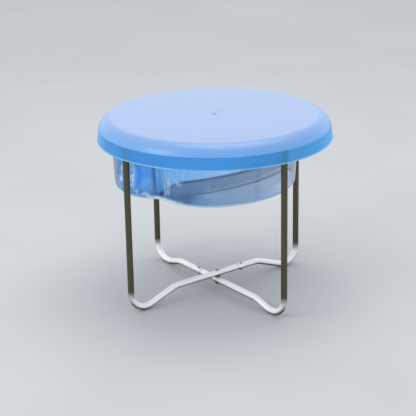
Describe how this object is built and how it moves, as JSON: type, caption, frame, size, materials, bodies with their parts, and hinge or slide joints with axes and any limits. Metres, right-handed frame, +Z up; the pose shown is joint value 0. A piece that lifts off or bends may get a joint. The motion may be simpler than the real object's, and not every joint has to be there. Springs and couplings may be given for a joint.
{
  "type": "sand and water play table",
  "caption": "Round child's sand and water play table: moulded blue lid over a clear divided tub on a folding stand of crossed bent steel tubes.",
  "frame": {"origin": "on the ground, under the pivot bolt where the two frames' rails cross", "axes": "+Z up, through the pivot bolt. The upper frame stands on the line X = Y, with its long tube's leg at -X -Y. The lower frame stands on the line X = -Y, with its long tube's leg at +X -Y."},
  "size_m": [0.75, 0.75, 0.596],
  "materials": {
    "lid_plastic": "satin moulded translucent light blue",
    "clear_plastic": "glossy, clear with a slight blue tint",
    "steel_tube": "satin zinc plated",
    "bolt_steel": "bright zinc plated",
    "cap_plastic": "matte moulded dark grey",
    "spacer_plastic": "matte moulded blue-grey"
  },
  "bodies": {
    "upper_frame": {"upper_frame_long_tube": "steel_tube", "upper_frame_short_tube": "steel_tube", "upper_frame_joint_bolt": "bolt_steel", "upper_frame_joint_nut": "bolt_steel", "upper_frame_long_leg_cap": "cap_plastic", "upper_frame_short_leg_cap": "cap_plastic", "pivot_bolt": "bolt_steel", "pivot_spacer": "spacer_plastic", "pivot_washer": "bolt_steel", "pivot_nut": "bolt_steel"},
    "lower_frame": {"lower_frame_long_tube": "steel_tube", "lower_frame_short_tube": "steel_tube", "lower_frame_joint_bolt": "bolt_steel", "lower_frame_joint_nut": "bolt_steel", "lower_frame_long_leg_cap": "cap_plastic", "lower_frame_short_leg_cap": "cap_plastic"},
    "tub": {"tub": "clear_plastic"},
    "lid": {"lid": "lid_plastic"}
  },
  "joints": [
    {"name": "stand_fold", "type": "hinge", "parent": "upper_frame", "child": "lower_frame", "pos_m": [0, 0, 0.027], "axis": [0, 0, -1], "range_deg": [0, 80]},
    {"name": "tub_lift", "type": "slide", "parent": "upper_frame", "child": "tub", "axis": [0, 0, 1], "range_m": [0, 0.3]},
    {"name": "lid_lift", "type": "slide", "parent": "tub", "child": "lid", "axis": [0, 0, 1], "range_m": [0, 0.3]}
  ]
}
